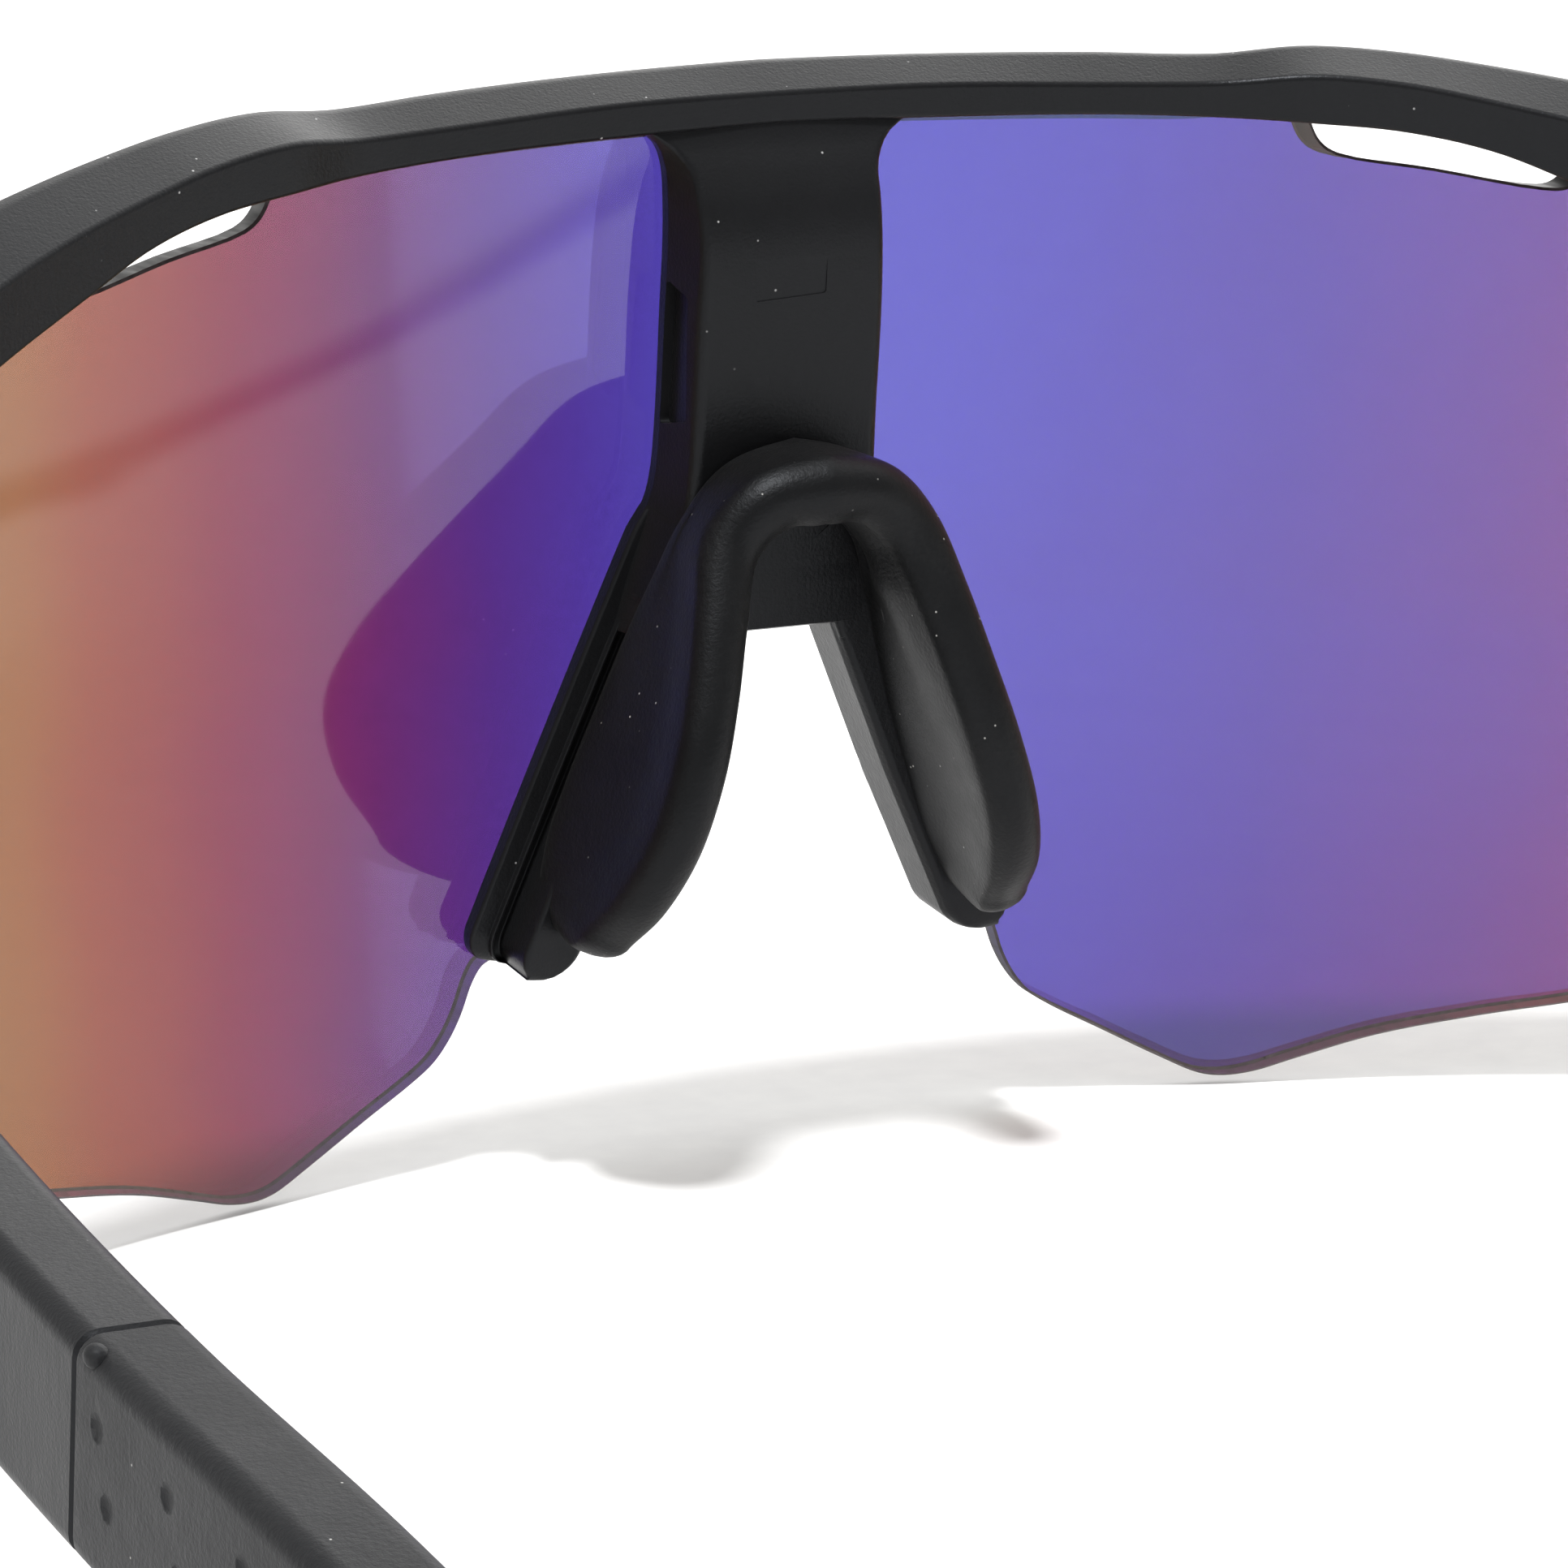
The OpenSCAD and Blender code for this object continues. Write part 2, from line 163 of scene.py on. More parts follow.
# Air slot in the lens's top edge
VENT = (
    (25.6, 49.5), (26.0, 47.8), (26.5, 46.9), (27.3, 46.4), (31.5, 45.8), (36.2, 45.1),
    (37.2, 45.2), (37.9, 45.9), (38.2, 46.6),
)
# The air slots' floor, by height and least distance from the middle, and how far it drops to
# the outside
SLOT_BAND, SLOT_INNER, SLOT_DROP = (44.9, 47.9), 25, 0.35
# The nose notch's sides, by height and greatest distance from the middle, and how far they draw
# back to the outside below and above a short stretch
NOTCH_BAND, NOTCH_OUTER = (10.0, 26.2), 10.7
NOTCH_STRETCH, NOTCH_DRAW = (17.5, 19.8), (0.3, 0.85)


# ---------- from wearing axes to the row frame ----------

pin_joint = next(j for j in frame["joints"] if j["name"] == "left_temple_fold")
LEAN = math.atan2(pin_joint["axis"][1], pin_joint["axis"][2])
TURN = np.array(
    ((1, 0, 0), (0, math.cos(LEAN), math.sin(LEAN)), (0, -math.sin(LEAN), math.cos(LEAN)))
)
ORIGIN = np.array(pin_joint["pos_m"]) - TURN @ np.array(PIN) * MM


def to_row(points):
    return np.asarray(points, float) @ TURN.T * MM + ORIGIN


# ---------- shape helpers ----------


def at(table, key):
    """A table's row at a key between its rows, by a cubic through the neighbouring rows."""
    rows = np.array(table, float)
    last = len(rows) - 1
    i = int(np.clip(np.searchsorted(rows[:, 0], key, side="right") - 1, 0, last - 1))

    def slope(j):
        a, b = max(j - 1, 0), min(j + 1, last)
        return (rows[b] - rows[a]) / (rows[b, 0] - rows[a, 0])

    w = rows[i + 1, 0] - rows[i, 0]
    u = (key - rows[i, 0]) / w
    return (
        (2 * u**3 - 3 * u**2 + 1) * rows[i]
        + (u**3 - 2 * u**2 + u) * w * slope(i)
        + (3 * u**2 - 2 * u**3) * rows[i + 1]
        + (u**3 - u**2) * w * slope(i + 1)
    )


def spline(points, per_span, closed=False):
    """Points on a smooth curve through the given points, per_span to each span."""
    p = np.asarray(points, float)
    n = len(p)
    if closed:
        p = np.concatenate([p[-1:], p, p[:2]])
        spans = n
    else:
        p = np.concatenate([2 * p[:1] - p[1:2], p, 2 * p[-1:] - p[-2:-1]])
        spans = n - 1
    out = []
    for i in range(spans):
        a, b, c, d = p[i : i + 4]
        ka, kb, kc = (max(np.linalg.norm(v), 1e-6) ** 0.5 for v in (b - a, c - b, d - c))
        m1 = (c - b) / kb - (c - a) / (ka + kb) + (b - a) / ka
        m2 = (d - c) / kc - (d - b) / (kb + kc) + (c - b) / kb
        for k in range(per_span):
            u = k / per_span
            out.append(
                (2 * u**3 - 3 * u**2 + 1) * b
                + (u**3 - 2 * u**2 + u) * kb * m1
                + (3 * u**2 - 2 * u**3) * c
                + (u**3 - u**2) * kb * m2
            )
    return np.array(out if closed else out + [p[-2]])


def rounded(corners, steps=4):
    """Closed outline through (x, y, radius) corners, each turned into an arc."""
    out = []
    for i, corner in enumerate(corners):
        p = np.array(corner[:2], float)
        a = np.array(corners[i - 1][:2], float) - p
        b = np.array(corners[(i + 1) % len(corners)][:2], float) - p
        la, lb = np.linalg.norm(a), np.linalg.norm(b)
        a, b = a / la, b / lb
        half = math.acos(float(np.clip(a @ b, -1, 1))) / 2
        reach = min(corner[2] / math.tan(half), 0.47 * la, 0.47 * lb)
        centre = p + (a + b) / np.linalg.norm(a + b) * reach / math.cos(half)
        start, end = p + a * reach - centre, p + b * reach - centre
        sweep = math.pi - 2 * half
        for k in range(steps + 1):
            u = k / steps
            swung = math.sin((1 - u) * sweep) * start + math.sin(u * sweep) * end
            out.append(centre + swung / math.sin(sweep))
    return np.array(out)


def inset(outline, d):
    """A closed outline moved inwards by d."""
    p = np.asarray(outline, float)
    ahead = np.roll(p, -1, 0) - p
    ahead /= np.linalg.norm(ahead, axis=1)[:, None] + 1e-12
    behind = np.roll(ahead, 1, 0)
    tangent = ahead + behind
    tangent /= np.linalg.norm(tangent, axis=1)[:, None] + 1e-12
    normal = np.stack([-tangent[:, 1], tangent[:, 0]], 1)
    area = np.sum(p[:, 0] * np.roll(p[:, 1], -1) - np.roll(p[:, 0], -1) * p[:, 1])
    return p + normal * d * (1 if area > 0 else -1)


def loft(rings):
    """Closed solid through rings that all have the same number of points."""
    n, m = len(rings[0]), len(rings)
    faces = [
        (i * n + j, i * n + (j + 1) % n, (i + 1) * n + (j + 1) % n, (i + 1) * n + j)
        for i in range(m - 1)
        for j in range(n)
    ]
    faces += [tuple(range(n)), tuple((m - 1) * n + j for j in range(n))]
    return np.concatenate(rings), faces


def prism(outline, low, high, bevel=0.0, along=2):
    """An outline drawn out from low to high along one axis, with its end edges bevelled."""
    cuts = [(bevel, low), (bevel * 0.3, low + bevel * 0.3), (0, low + bevel)]
    cuts += [(0, high - bevel), (bevel * 0.3, high - bevel * 0.3), (bevel, high)]
    if not bevel:
        cuts = [(0, low), (0, high)]
    rings = []
    for d, level in cuts:
        flat = inset(outline, d)
        rings.append(np.insert(flat, along, level, axis=1))
    return loft(rings)


def circle(x, y, r, n=48):
    a = np.arange(n) * 2 * math.pi / n
    return np.stack([x + r * np.cos(a), y + r * np.sin(a)], 1)


def ball(centre, radii, n=24):
    """An ellipsoid, as a solid."""
    rings = []
    for t in np.linspace(0.02, 0.98, n // 2) * math.pi:
        flat = circle(0, 0, math.sin(t), n)
        rings.append(np.column_stack([flat, np.full(n, math.cos(t))]) * radii + centre)
    return loft(rings)


def mirrored(solid):
    verts, faces = solid
    return verts * (-1, 1, 1), faces


def on_side(solid, side):
    return solid if side > 0 else mirrored(solid)


def build(name, solid):
    """An object from a solid in wearing axes, with no loose points and its faces turned outwards."""
    verts, faces = solid
    mesh = bpy.data.meshes.new(name)
    mesh.from_pydata(to_row(verts).tolist(), [], faces)
    bm = bmesh.new()
    bm.from_mesh(mesh)
    bmesh.ops.delete(bm, geom=[v for v in bm.verts if not v.link_faces], context="VERTS")
    bmesh.ops.recalc_face_normals(bm, faces=bm.faces)
    bm.to_mesh(mesh)
    bm.free()
    mesh.polygons.foreach_set("use_smooth", [True] * len(mesh.polygons))
    obj = bpy.data.objects.new(name, mesh)
    bpy.context.scene.collection.objects.link(obj)
    return obj


def combine(base, operation, *solids):
    """Joins each solid to an object, or cuts it out."""
    for solid in solids:
        tool = build("tool", solid)
        change = base.modifiers.new("change", "BOOLEAN")
        change.object = tool
        change.operation = operation
        change.solver = "MANIFOLD"
        graph = bpy.context.evaluated_depsgraph_get()
        mesh = bpy.data.meshes.new_from_object(base.evaluated_get(graph))
        base.modifiers.clear()
        old, base.data = base.data, mesh
        bpy.data.meshes.remove(old)
        bpy.data.meshes.remove(tool.data)
    return base


def hard_shading(obj, angle=32):
    """Smooth shading that stops at sharp edges, with flat faces kept flat."""
    obj.data.polygons.foreach_set("use_smooth", [True] * len(obj.data.polygons))
    obj.data.set_sharp_from_angle(angle=math.radians(angle))
    weighted = obj.modifiers.new("weighted", "WEIGHTED_NORMAL")
    weighted.keep_sharp = True
    weighted.weight = 60
    return obj


# ---------- front frame ----------


def lens_y(x):
    """The lens's inner face."""
    return LENS_R - np.sqrt(LENS_R**2 - np.asarray(x, float) ** 2)


BEND_S = LENS_R * BEND_A
STRAIGHT_S = BEND_S + BEND_R * (math.pi / 2 - BEND_A)
BEND_X = (LENS_R - BEND_R) * math.sin(BEND_A)
BEND_Y = LENS_R - (LENS_R - BEND_R) * math.cos(BEND_A)
BROW_END = STRAIGHT_S + BUTT_Y - BEND_Y


def brow_ring(s):
    """The brow's section at distance s along its plan: the lens's circle, a bend, then straight."""
    if s <= BEND_S:
        a = s / LENS_R
        p, key = np.array((LENS_R * math.sin(a), LENS_R * (1 - math.cos(a)))), LENS_R * math.sin(a)
    else:
        a = min(math.pi / 2, BEND_A + (s - BEND_S) / BEND_R)
        p = np.array((BEND_X + BEND_R * math.sin(a), BEND_Y - BEND_R * math.cos(a)))
        p[1] += max(0, s - STRAIGHT_S)
        key = min(LENS_R * math.sin(BEND_A) + s - BEND_S, 80)
    _, low, ridge, crest, back, drop = at(BROW, key)
    lip = low - drop
    section = rounded((
        (-back, low, 0.3),
        (-back, ridge, 0.32),
        (1.4, crest + 0.05, 1.1),
        (BROW_FRONT, crest - 1.1, 0.9),
        (BROW_FRONT, lip, 0.35),
        (LENS_T + 0.05, lip, 0.12),
        (LENS_T - 0.6, low, 0.1),
    ), steps=5)
    out = np.array((math.sin(a), -math.cos(a)))
    plan = p + section[:, :1] * out
    return np.column_stack([plan, section[:, 1]])


def brow():
    along = np.concatenate([
        np.linspace(0, BEND_S, 90)[1:], np.linspace(BEND_S, BROW_END, 34)[1:]
    ])
    left = [brow_ring(s) for s in along]
    right = [ring * (-1, 1, 1) for ring in left]
    return loft(left[::-1] + [brow_ring(0)] + right)


def column():
    """The nose column behind the lens, flared where it runs into the brow."""
    rings = []
    for z in np.concatenate([[25.5, 25.65], np.linspace(26, 49.6, 60)]):
        _, w, b, back = at(COLUMN, z)
        edge = 0.3 if z < 25.6 else 0
        section = rounded((
            (-w, -1 + edge, 0.05), (w, -1 + edge, 0.05), (w, 0.8, 0.3),
            (b + 0.1, back - edge, 0.62), (-b - 0.1, back - edge, 0.62), (-w, 0.8, 0.3),
        ), steps=5)
        rings.append(np.column_stack([section, np.full(len(section), z)]))
    return loft(rings)


def leg_solid(section, levels, tilt):
    """A solid that follows a leg: its section across the leg, at levels that tilt up outwards,
    each with how far its sides are drawn in."""
    rings = []
    for z, draw in levels:
        lean = LEG_NARROWING * max(0, NARROW_FROM - z) * (section[:, 0] < 0.6)
        u = section[:, 0] + np.clip(LEG_W / 2 - section[:, 0], -draw, draw) + lean
        x = LEG_X + LEG_SLOPE * (LEG_TOP - z - tilt * (u - LEG_W / 2)) + u
        y = section[:, 1] - draw * 0.25 * (section[:, 1] > 0.5) + lens_y(x)
        rings.append(np.column_stack([x, y, z + tilt * (u - LEG_W / 2)]))
    return loft(rings)


def leg():
    """One nose leg on the lens: a flange with a thin lip, and a rail that carries the pad."""
    w = LEG_W
    section = rounded((
        (0.5, -1, 0.05), (w, -1, 0.05), (w, 0.9, 0.22), (w - 0.98, 1.0, 0.05),
        (w - 1.0, 1.28, 0.07),
        (w - 1.18, 1.28, 0.07), (w - 1.22, 0.85, 0.05), (w - 1.75, 0.85, 0.1),
        (w - 1.8, COLUMN_DEPTH, 0.3), (0.25, COLUMN_DEPTH, 0.4), (0, COLUMN_DEPTH - 0.6, 0.3),
        (0, 0.05, 0.02), (0.5, 0.03, 0.02),
    ), steps=4)
    top = [(31.2, 0.5), (30.4, 0.22), (LEG_TOP, 0.02)]
    side = [(z, 0) for z in (28.5, 24, NARROW_FROM, 13, 11.4)]
    end = [(11.1, 0.05), (10.8, 0.18), (10.5, 0.4), (10.25, 0.7), (10.08, 1.1), (10.0, 1.6)]
    return leg_solid(section, top + side + end, 0.2)


def shoulder(grow=0.0):
    """Where a leg meets the column: as deep as the column, down to the pad's upper corner."""
    w = LEG_W - 1.02
    section = rounded((
        (0.1, -1, 0.05), (w + grow, -1, 0.05), (w + grow, COLUMN_DEPTH, 0.4),
        (0.1, COLUMN_DEPTH, 0.3),
    ), steps=4)
    levels = ((31.0, 0), (29.5, 0), (28, 0), (26.3 - grow, 0), (26.15 - grow, 0.15))
    return leg_solid(section, levels, 0.6)


def lug(z):
    """One of the front's two lugs about the hinge pin, from height z upwards."""
    half = KNUCKLE_R
    outline = rounded((
        (PIN[0] - half, BUTT_Y - 3, 0.05), (PIN[0] + half, BUTT_Y - 3, 0.05),
        (PIN[0] + half, PIN[1] + half, half * 0.98), (PIN[0] - half, PIN[1] + half, half * 0.98),
    ), steps=14)
    return prism(outline, z, z + LUG_H, bevel=0.2)


def lens_half(slot, grow=0.0):
    """Half outline of the lens in x and z, from the top middle round to the nose notch. It
    dips round the air slot, or runs straight over it where the frame's seat is cut."""

    def under_brow(xs):
        return [(x, at(BROW, x)[1] + 0.7 + grow) for x in xs]

    middle = under_brow(range(0, 25, 2))
    over = [tuple(p) for p in spline(VENT, 4)] if slot else under_brow((26.5, 29, 31.5, 34, 36.5))
    outer = under_brow((38.6, 41, 43.5, 46, 48.5, 51, 54))
    side = [(57.8, 39.4 + grow), (59.8 + grow, 37 + grow)]
    low = [tuple(p) for p in spline(LENS_LOW, 5)]
    return middle + over + outer + side + low


def lens_outer(z):
    """How far the lens's outer face lies from its inner face: the sheet thins downwards."""
    return np.interp(z, (5, 24), (LENS_T_LOW, LENS_T))


def seat_outer(z):
    """The outer face of the frame's seat for the lens, with its clearance."""
    return np.full(len(z), LENS_T + SEAT)


def sheet_solid(half_points, out_low, outer, step, edge, relief=False):
    """The curved sheet inside an outline: vertices, faces, and each face's part of the sheet
    (0 the inner face, 1 the outer face, 2 the cut edge, 3 its bevels). out_low and outer(z) say
    how far its faces lie out from the lens's inner face. It is cut straight to the front. With
    relief, the floor of the air slots also drops to the outside and the sides of the nose
    notch draw back."""
    half = np.array(half_points)
    outline = np.concatenate([half, (half * (-1, 1))[::-1][1:-1]])
    flat = np.column_stack([LENS_R * np.arcsin(outline[:, 0] / LENS_R), outline[:, 1]])
    keep = np.linalg.norm(flat - np.roll(flat, 1, 0), axis=1) > 0.02
    flat = flat[keep]
    n = len(flat)
    rim = inset(flat, edge)
    grid = []
    low, high = flat.min(0), flat.max(0)
    for i, z in enumerate(np.arange(low[1] + step / 2, high[1], step * 0.87)):
        for s in np.arange(low[0] + step * (0.3 + 0.5 * (i % 2)), high[0], step):
            grid.append((s, z))
    grid = np.array(grid)
    gap = np.min(np.linalg.norm(grid[:, None] - rim[None], axis=2), axis=1)
    grid = grid[gap > step * 0.45]
    points = [Vector(p) for p in np.concatenate([rim, grid])]
    edges = [(i, (i + 1) % n) for i in range(n)]
    cdt = delaunay_2d_cdt(points, edges, [list(range(n))], 1, 1e-6)
    found, triangles, origin = np.array([tuple(v) for v in cdt[0]]), cdt[2], cdt[3]
    found_at = {o: k for k, sources in enumerate(origin) for o in sources if o < n}
    rim_at = [found_at[i] for i in range(n)]

    def lay(points, out):
        a = points[:, 0] / LENS_R
        r = LENS_R + out
        return np.column_stack([r * np.sin(a), LENS_R - r * np.cos(a), points[:, 1]])

    m = len(found)
    far, far_edge = found.copy(), flat.copy()
    s, z = flat.T
    square = LENS_R * np.arcsin(LENS_R * np.sin(s / LENS_R) / (LENS_R + outer(z))) - s
    slot = (z > SLOT_BAND[0]) & (z < SLOT_BAND[1]) & (abs(s) > SLOT_INNER) & relief
    notch = (z > NOTCH_BAND[0]) & (z < NOTCH_BAND[1]) & (abs(s) < NOTCH_OUTER) & relief
    drop = SLOT_DROP * slot * np.clip(1.35 - abs(s) / 45, 0.45, 1)
    draw = np.interp(z, NOTCH_STRETCH, NOTCH_DRAW) * notch * np.sign(s)
    back = np.column_stack([square + draw, -drop])
    far[rim_at] += back
    far_edge += back
    verts = np.concatenate([
        lay(found, out_low), lay(far, outer(far[:, 1])), lay(flat, out_low + edge),
        lay(far_edge, outer(far_edge[:, 1]) - edge),
    ])
    faces = [tuple(t) for t in triangles] + [tuple(m + k for k in t)[::-1] for t in triangles]
    parts = [0] * len(triangles) + [1] * len(triangles)
    low_edge = [2 * m + i for i in range(n)]
    high_edge = [2 * m + n + i for i in range(n)]
    loops = (rim_at, low_edge, high_edge, [m + k for k in rim_at])
    for k, (a, b) in enumerate(zip(loops, loops[1:])):
        for i in range(n):
            j = (i + 1) % n
            faces.append((a[i], a[j], b[j], b[i]))
            parts.append(2 if k == 1 else 3)
    return verts, faces, parts


def front_frame():
    obj = build("front_frame_shell", brow())
    combine(obj, "UNION", column())
    for side in SIDES.values():
        combine(obj, "UNION", on_side(leg(), side), on_side(shoulder(), side))
        for z in (PIN_LOW, PIN_TOP - LUG_H):
            combine(obj, "UNION", on_side(lug(z), side))
    verts, faces, _ = sheet_solid(lens_half(False, 0.12), -SEAT, seat_outer, 2.6, 0.05)
    combine(obj, "DIFFERENCE", (verts, faces))
    for side in SIDES.values():
        bores = (
            (circle(PIN[0], PIN[1], BORE_R), PIN_LOW - 1, PIN_TOP + 1),
            (circle(PIN[0], PIN[1], INSERT_R), PIN_LOW - 1, PIN_LOW + LUG_H + 0.4),
            (circle(PIN[0], PIN[1], HEAD_R), PIN_TOP - HEAD_H, PIN_TOP + 4),
        )
        for outline, low_z, high_z in bores:
            combine(obj, "DIFFERENCE", on_side(prism(outline, low_z, high_z), side))
        combine(obj, "DIFFERENCE", on_side(column_pocket(), side))
    combine(obj, "DIFFERENCE", mould_mark())
    return hard_shading(obj)


def column_pocket():
    """Shallow moulded pocket in the column's side, slanted at its top."""
    outline = rounded((
        (0.75, 34.9, 0.25), (2.75, 35.5, 0.25), (2.45, 41.2, 0.2), (0.8, 41.7, 0.2),
    ))
    return prism(outline, 4.62, 6.5, along=0)


def mould_mark():
    """Faint rectangular insert mark on the column's back face."""
    outline = rounded((
        (-1.6, 41.3, 0.15), (1.95, 41.1, 0.15), (1.95, 43.0, 0.2), (-1.6, 43.3, 0.2),
    ))
    return prism(outline, COLUMN_DEPTH - 0.06, COLUMN_DEPTH + 2, along=1)


# ---------- nose pad ----------


def pad_outline(length, outer, inner, rim, dish):
    """The pad's section: flat outer side, rolled rim at the back, dished inner side with a
    thin bead where it meets the leg."""
    roll = [
        (length + rim * math.cos(a), rim * math.sin(a))
        for a in np.radians((100, 68, 34, 0, -34, -68, -100))
    ]
    reach = max(length - 2.6, length * 0.5)
    points = [(0.0, outer * 0.6), (0.03, outer - 0.12), (0.22, outer), (1.0, outer - 0.02)]
    points += [(reach * 0.6, (outer + rim) / 2 - dish * 0.3), (reach, rim - dish * 0.35)] + roll
    points += [(reach, -rim + dish * 0.7), (reach * 0.6, -(inner + rim) / 2 + dish * 1.1)]
    points += [(0.9, -inner + dish * 0.3), (0.3, -inner - 0.02)]
    points += [(0.05, -inner + 0.1), (0.0, -inner * 0.6)]
    return spline(points, 4, closed=True)


def pad_section(row, scale=1.0, slip=(0, 0, 0)):
    """One ring of the pad, in the plane that its front and rim lines span."""
    front, back = row[0:3], row[3:6]
    reach = back - front
    length = np.linalg.norm(reach)
    deep = reach / length
    side = np.clip(row[0] / 4.2, 0, 1)
    across = np.array((0.95 * side, -0.1 * side, 1.0 - 0.62 * side))
    across -= deep * (across @ deep)
    across /= np.linalg.norm(across)
    flat = pad_outline(length, *row[6:10])
    middle = np.array((length * 0.5, 0))
    flat = middle + (flat - middle) * scale
    return front + flat[:, :1] * deep + flat[:, 1:] * across + np.array(slip)


def nose_pad():
    wing = spline(PAD, 10)
    rings = [pad_section(row) for row in wing]
    end, before = wing[-1], wing[-3]
    down = (end[0:3] + end[3:6]) - (before[0:3] + before[3:6])
    down /= np.linalg.norm(down)
    cap_depth, cap_end, cap_rings = 1.7, 0.08, 9
    for k in range(1, cap_rings + 1):
        a = k / cap_rings * math.pi / 2
        scale = cap_end + (1 - cap_end) * math.cos(a)
        rings.append(pad_section(end, scale, down * math.sin(a) * cap_depth))
    left = rings[1:]
    right = [ring * (-1, 1, 1) for ring in left]
    obj = build("nose_pad_soft", loft(left[::-1] + [rings[0]] + right))
    combine(obj, "DIFFERENCE", column())
    for side in SIDES.values():
        combine(obj, "DIFFERENCE", on_side(leg(), side), on_side(shoulder(0.12), side))
    return hard_shading(obj, 38)


# ---------- temples ----------


def temple_ring(y, shrink, steps=5):
    _, x, z, height, thick = at(TEMPLE, y)
    h, t = height / 2 - shrink, thick / 2 - shrink
    r = min(0.95, t * 0.45)
    corners = ((x - t, z - h, r), (x + t, z - h, r), (x + t, z + h, r), (x - t, z + h, r))
    return np.insert(rounded(corners, steps), 1, y, axis=1)


def temple(side):
    """The arm, its thinner core under the sock, the hinge's cover and its knuckle."""
    arm = [temple_ring(ARM_START, 0.35), temple_ring(ARM_START + 0.1, 0.12)]
    arm += [temple_ring(y, 0) for y in np.linspace(ARM_START + 0.35, SOCK_START - 0.14, 34)]
    arm += [temple_ring(SOCK_START, 0.12)]
    core = [temple_ring(y, SOCK_WALL) for y in np.linspace(SOCK_START + 0.02, CORE_END, 50)]
    obj = build("temple_" + side + "_arm", on_side(loft(arm + core), SIDES[side]))
    wall = rounded((
        (BUTT_Y + 0.3, PIN_LOW - 0.2, 0.5), (50.5, PIN_LOW - 0.1, 0.3),
        (50.5, PIN_TOP + 0.2, 0.3), (BUTT_Y + 0.3, PIN_TOP + 0.3, 0.5),
    ))
    low, high = PIN_LOW + LUG_H + FACE_GAP, PIN_TOP - LUG_H - FACE_GAP
    root = rounded((
        (PIN[0], PIN[1] - 1.6, 0.1), (PIN[0] + KNUCKLE_R + 1, PIN[1] - 1.6, 0.1),
        (PIN[0] + KNUCKLE_R + 1, PIN[1] + 4, 0.1), (PIN[0], PIN[1] + 4, 0.1),
    ))
    start = PIN[0] + KNUCKLE_R + 0.3
    parts = (
        prism(wall, start, start + 1.3, bevel=0.3, along=0),
        prism(circle(PIN[0], PIN[1], KNUCKLE_R), low, high, bevel=0.15),
        prism(root, low, high),
    )
    for part in parts:
        combine(obj, "UNION", on_side(part, SIDES[side]))
    bore = prism(circle(PIN[0], PIN[1], BORE_R), low - 1, high + 1)
    combine(obj, "DIFFERENCE", on_side(bore, SIDES[side]))
    return hard_shading(obj)


def ear_sock(side):
    """The rubber sleeve on the core, with two rows of dimples outside and a pip at its start."""
    start, steps = SOCK_START + 0.1, 6
    inside = np.linspace(CORE_END + 0.3, start, 40)
    outside = np.linspace(SOCK_START + 0.28, SOCK_ROUND, 90)
    end = TEMPLE_END - SOCK_ROUND
    tip = [SOCK_ROUND + end * math.sin(k / 8 * math.pi / 2) for k in range(1, 9)]
    rings = [temple_ring(y, SOCK_WALL - SEAT, steps) for y in inside]
    rings += [temple_ring(start, 0.14, steps), temple_ring(SOCK_START + 0.16, 0.04, steps)]
    rings += [temple_ring(y, 0, steps) for y in [*outside, *tip]]
    obj = build("ear_sock_" + side + "_soft", on_side(loft(rings), SIDES[side]))
    for i in range(DIMPLES):
        for dz, dy in ((1.5, 0), (-0.8, 0.9)):
            y = DIMPLE_START + DIMPLE_PITCH * i + dy
            _, x, z, _, thick = at(TEMPLE, y)
            centre = np.array((x + thick / 2 + 0.95, y, z + dz))
            dimple = ball(centre, (DIMPLE_R, DIMPLE_R, DIMPLE_R))
            combine(obj, "DIFFERENCE", on_side(dimple, SIDES[side]))
    _, x, z, height, thick = at(TEMPLE, PIP_Y)
    centre = np.array((x + thick / 2 - 0.25, PIP_Y, z + height / 2 - 0.3))
    combine(obj, "UNION", on_side(ball(centre, (0.42, 0.5, 0.42)), SIDES[side]))
    return hard_shading(obj, 45)


# ---------- materials ----------


